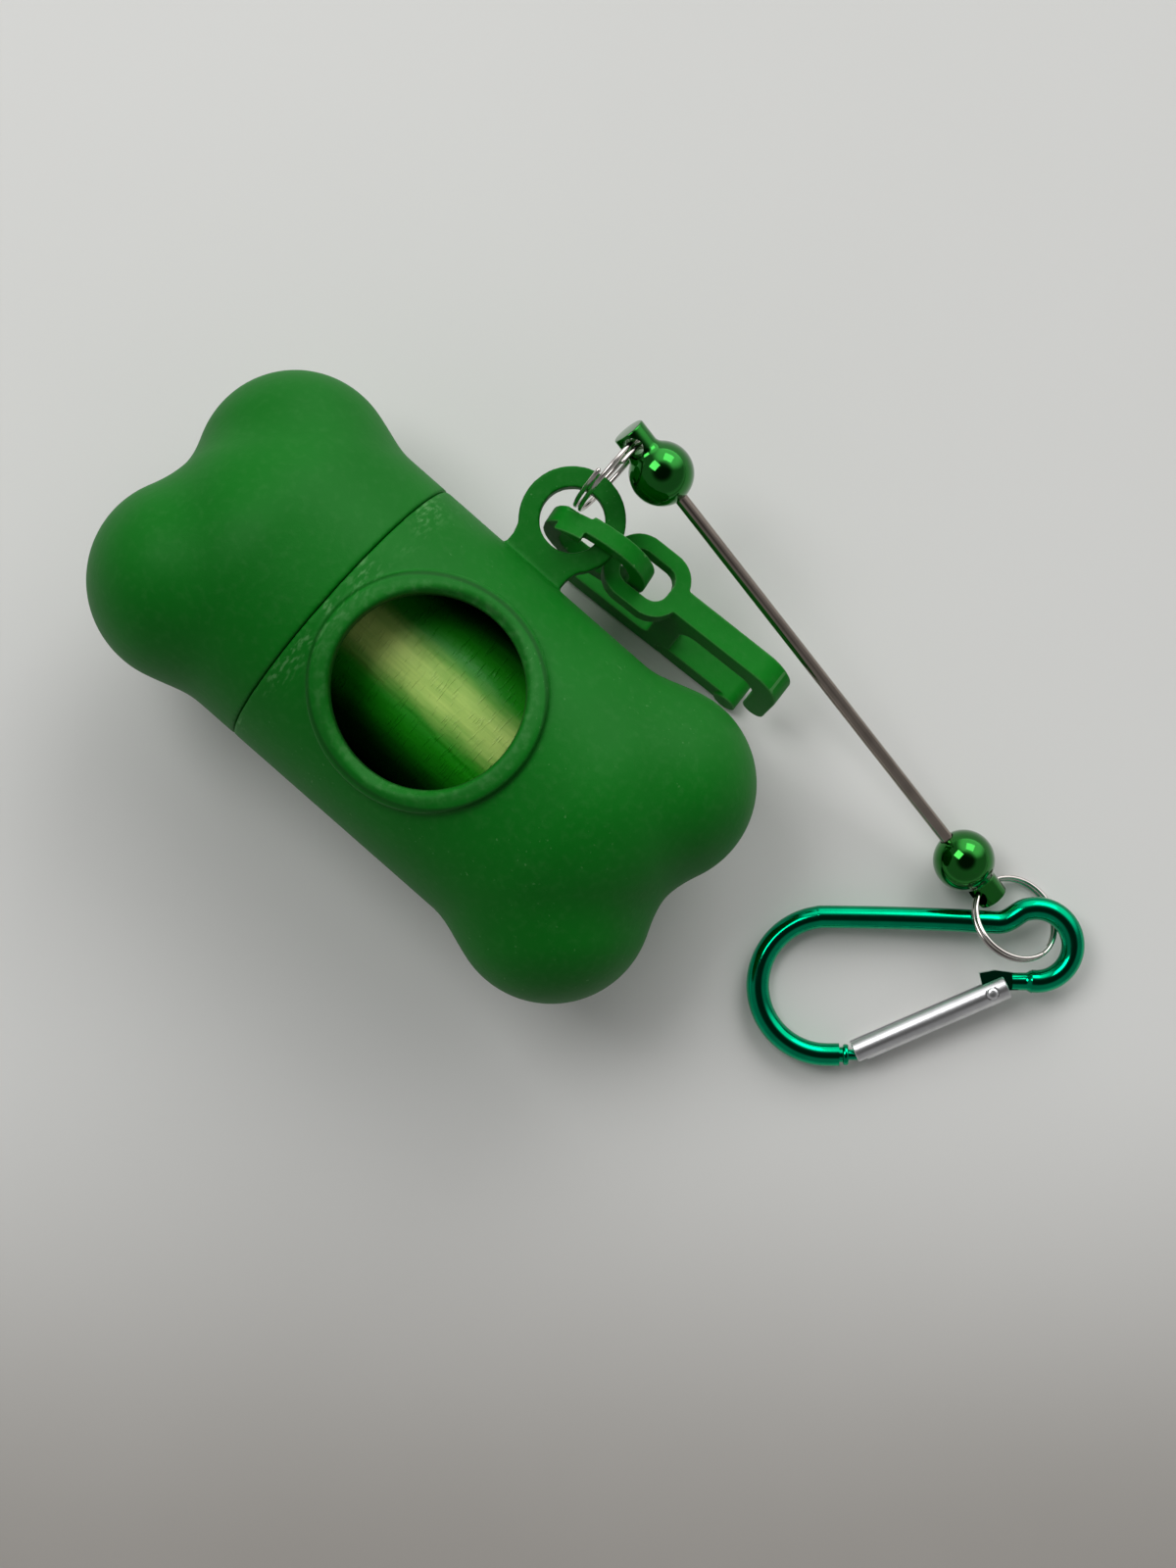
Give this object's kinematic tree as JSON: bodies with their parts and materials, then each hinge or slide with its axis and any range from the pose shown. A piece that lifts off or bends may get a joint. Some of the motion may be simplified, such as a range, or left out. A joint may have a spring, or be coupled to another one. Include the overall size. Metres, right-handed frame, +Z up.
{
  "type": "dog waste bag dispenser",
  "caption": "Bone-shaped waste bag dispenser with a pull-off end, a dispensing hole, a snap hook, a ball-ended rod on split rings and a small carabiner.",
  "frame": {"origin": "middle of the part's footprint, on the floor it lies on", "axes": "+X along the housing from the cap to the long end, +Z up through the dispensing hole, +Y towards the side ring"},
  "size_m": [0.1304, 0.0653, 0.0413],
  "materials": {
    "housing_plastic": "satin moulded plastic",
    "bag_film": "thin glossy film",
    "card": "plain grey-brown card",
    "steel": "nickel-plated steel",
    "ball_coat": "mirror-bright metallic coat",
    "anodised": "bright anodised",
    "gate_aluminium": "bright plain"
  },
  "bodies": {
    "housing": {"body_shell": "housing_plastic"},
    "cap": {"end_cap": "housing_plastic"},
    "roll": {"roll_core": "card", "bag_roll": "bag_film"},
    "link": {"connecting_link": "housing_plastic"},
    "hook": {"hook_frame": "housing_plastic"},
    "hook_tongue": {"hook_gate": "housing_plastic"},
    "upper_ring": {"upper_split_ring": "steel"},
    "bar": {"upper_ball": "ball_coat", "bar_rod": "steel"},
    "lower_ball": {"lower_ball": "ball_coat"},
    "lower_ring": {"lower_split_ring": "steel"},
    "carabiner": {"carabiner_frame": "anodised"},
    "gate": {"carabiner_gate": "gate_aluminium", "gate_rivet": "gate_aluminium", "gate_spring": "steel"}
  },
  "joints": [
    {"name": "cap_pull", "type": "slide", "parent": "housing", "child": "cap", "axis": [-1, 0, 0], "range_m": [0, 0.05]},
    {"name": "roll_turn", "type": "hinge", "parent": "housing", "child": "roll", "pos_m": [-0.03639, -0.00834, 0.01817], "axis": [1, 0, 0], "continuous": true},
    {"name": "link_swing", "type": "hinge", "parent": "housing", "child": "link", "pos_m": [-0.01709, 0.01783, 0.02], "axis": [0, 1, 0], "range_deg": [-30, 5]},
    {"name": "hook_swing", "type": "hinge", "parent": "link", "child": "hook", "pos_m": [-0.01156, 0.01841, 0.01569], "axis": [-0.0508, 0.969, -0.2419], "range_deg": [-8, 6]},
    {"name": "tongue_flex", "type": "hinge", "parent": "hook", "child": "hook_tongue", "pos_m": [-0.00313, 0.01595, 0.00211], "axis": [0.0508, -0.969, 0.2419], "range_deg": [0, 15], "stiffness_Nm_per_rad": 0.05},
    {"name": "upper_ring_swing", "type": "hinge", "parent": "housing", "child": "upper_ring", "pos_m": [-0.02249, 0.02323, 0.02], "axis": [1, 0, 0], "range_deg": [-10, 0]},
    {"name": "bar_swing", "type": "hinge", "parent": "upper_ring", "child": "bar", "pos_m": [-0.02249, 0.02984, 0.02564], "axis": [0.1576, -0.5913, 0.7909], "range_deg": [0, 60]},
    {"name": "ball_screw", "type": "hinge", "parent": "bar", "child": "lower_ball", "pos_m": [0.04422, 0.01951, 0.00463], "axis": [0.9436, -0.1461, -0.2972], "continuous": true},
    {"name": "lower_ring_swing", "type": "hinge", "parent": "lower_ball", "child": "lower_ring", "pos_m": [0.04894, 0.01878, 0.00314], "axis": [-0.0099, 0.8846, -0.4662], "range_deg": [-30, 30]},
    {"name": "carabiner_swing", "type": "hinge", "parent": "lower_ring", "child": "carabiner", "pos_m": [0.05541, 0.01848, 0.00372], "axis": [0.7499, 0.6588, 0.0602], "range_deg": [-12, 20]},
    {"name": "gate_turn", "type": "hinge", "parent": "carabiner", "child": "gate", "pos_m": [0.05859, 0.00889, 0.00348], "axis": [0.0452, 0.0397, -0.9982], "range_deg": [0, 25], "stiffness_Nm_per_rad": 0.02}
  ]
}
